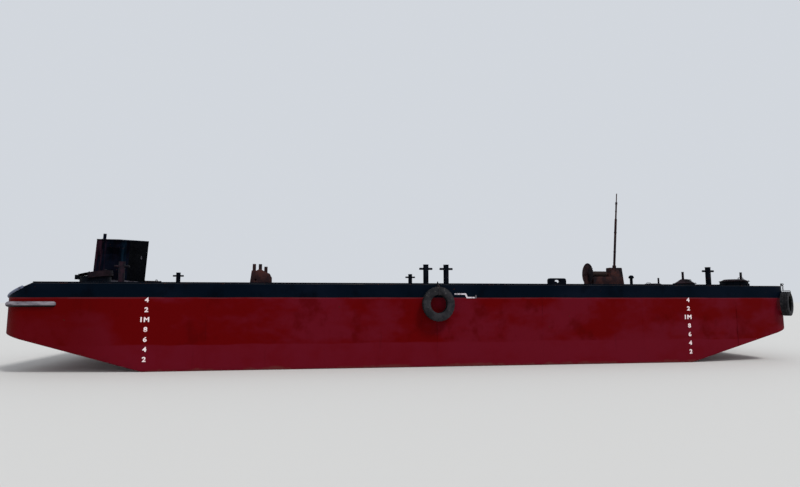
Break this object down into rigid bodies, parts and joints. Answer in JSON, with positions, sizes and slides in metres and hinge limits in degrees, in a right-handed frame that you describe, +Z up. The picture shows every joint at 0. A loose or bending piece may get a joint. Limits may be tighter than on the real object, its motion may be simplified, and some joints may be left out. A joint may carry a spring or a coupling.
{
  "type": "river barge",
  "caption": "Flat-decked steel river barge with raked ends, tyre fenders, mooring bitts, a winch, an engine house and manhole hatches with hinged lids.",
  "frame": {"origin": "on the underside of the flat bottom, under the middle of the overall length and breadth", "axes": "+Z up, -X towards the bow, -Y to port"},
  "size_m": [17.885, 5.4378, 4.1846],
  "materials": {
    "hull_paint": "semi-gloss dark red paint, weathered",
    "black_paint": "worn blue-black paint",
    "grey_paint": "scuffed grey paint",
    "rusty_steel": "old dark paint, rusting through",
    "bare_steel": "dull galvanised steel",
    "rubber": "worn tyre rubber"
  },
  "bodies": {
    "barge": {"bow_guard": "grey_paint", "bow_lip_bar": "grey_paint", "bow_lip_plate": "black_paint", "chock_port": "black_paint", "chock_starboard": "black_paint", "cross_bitt_bow_port": "black_paint", "cross_bitt_bow_starboard": "black_paint", "cross_bitt_midship_port_aft": "black_paint", "cross_bitt_midship_port_fore": "black_paint", "cross_bitt_midship_starboard": "black_paint", "cross_bitt_stern_port": "black_paint", "cross_bitt_stern_starboard": "black_paint", "deck_plate": "black_paint", "engine_block": "rusty_steel", "engine_house": "black_paint", "gunwale_bar_port": "black_paint", "gunwale_bar_starboard": "black_paint", "hatch_coaming_aft_port": "black_paint", "hatch_coaming_aft_starboard": "black_paint", "hatch_coaming_bow_port": "black_paint", "hatch_coaming_bow_starboard": "black_paint", "hatch_coaming_stern_port": "black_paint", "hatch_coaming_stern_starboard": "black_paint", "hatch_prop_bow_port": "rusty_steel", "house_skid_aft": "rusty_steel", "house_skid_fore": "rusty_steel", "hull": "hull_paint", "mushroom_vent_port": "black_paint", "mushroom_vent_starboard": "black_paint", "pole_mast": "rusty_steel", "side_port_tyre": "rubber", "side_port_tyre_lug": "black_paint", "side_port_tyre_shackle": "bare_steel", "side_port_tyre_strop": "bare_steel", "side_starboard_tyre": "rubber", "side_starboard_tyre_lug": "black_paint", "side_starboard_tyre_shackle": "bare_steel", "side_starboard_tyre_strop": "bare_steel", "stern_port_tyre": "rubber", "stern_port_tyre_lug": "black_paint", "stern_port_tyre_shackle": "bare_steel", "stern_port_tyre_strop": "bare_steel", "stern_starboard_tyre": "rubber", "stern_starboard_tyre_lug": "black_paint", "stern_starboard_tyre_shackle": "bare_steel", "stern_starboard_tyre_strop": "bare_steel", "three_post_rack": "rusty_steel", "winch_frame": "rusty_steel"},
    "winch_drum": {"winch_drum": "rusty_steel"},
    "engine_house_door": {"engine_house_door": "black_paint"},
    "hatch_lid_bow_port": {"hatch_lid_bow_port": "rusty_steel"},
    "hatch_lid_bow_starboard": {"hatch_lid_bow_starboard": "rusty_steel"},
    "hatch_lid_aft_port": {"hatch_lid_aft_port": "rusty_steel"},
    "hatch_lid_aft_starboard": {"hatch_lid_aft_starboard": "rusty_steel"},
    "hatch_lid_stern_port": {"hatch_lid_stern_port": "rusty_steel"},
    "hatch_lid_stern_starboard": {"hatch_lid_stern_starboard": "rusty_steel"}
  },
  "joints": [
    {"name": "winch_drum_turn", "type": "hinge", "parent": "barge", "child": "winch_drum", "pos_m": [4.05269, -1.5, 2.093], "axis": [1, 0, 0], "continuous": true},
    {"name": "engine_house_door_swing", "type": "hinge", "parent": "barge", "child": "engine_house_door", "pos_m": [-7.92292, -0.415, 1.87016], "axis": [-0.0523, 0, -0.9986], "range_deg": [0, 110]},
    {"name": "hatch_lid_bow_port_swing", "type": "hinge", "parent": "barge", "child": "hatch_lid_bow_port", "pos_m": [-7.79731, -1.7, 1.972], "axis": [0, -1, 0], "range_deg": [0, 85.6]},
    {"name": "hatch_lid_bow_starboard_swing", "type": "hinge", "parent": "barge", "child": "hatch_lid_bow_starboard", "pos_m": [-7.79731, 1.7, 1.972], "axis": [0, -1, 0], "range_deg": [0, 95]},
    {"name": "hatch_lid_aft_port_swing", "type": "hinge", "parent": "barge", "child": "hatch_lid_aft_port", "pos_m": [6.56869, -1.39, 1.862], "axis": [-1, 0, 0], "range_deg": [0, 95]},
    {"name": "hatch_lid_aft_starboard_swing", "type": "hinge", "parent": "barge", "child": "hatch_lid_aft_starboard", "pos_m": [6.56869, 1.39, 1.862], "axis": [1, 0, 0], "range_deg": [0, 95]},
    {"name": "hatch_lid_stern_port_swing", "type": "hinge", "parent": "barge", "child": "hatch_lid_stern_port", "pos_m": [7.96869, -1.32, 1.922], "axis": [-1, 0, 0], "range_deg": [0, 95]},
    {"name": "hatch_lid_stern_starboard_swing", "type": "hinge", "parent": "barge", "child": "hatch_lid_stern_starboard", "pos_m": [7.96869, 1.32, 1.922], "axis": [1, 0, 0], "range_deg": [0, 95]}
  ]
}
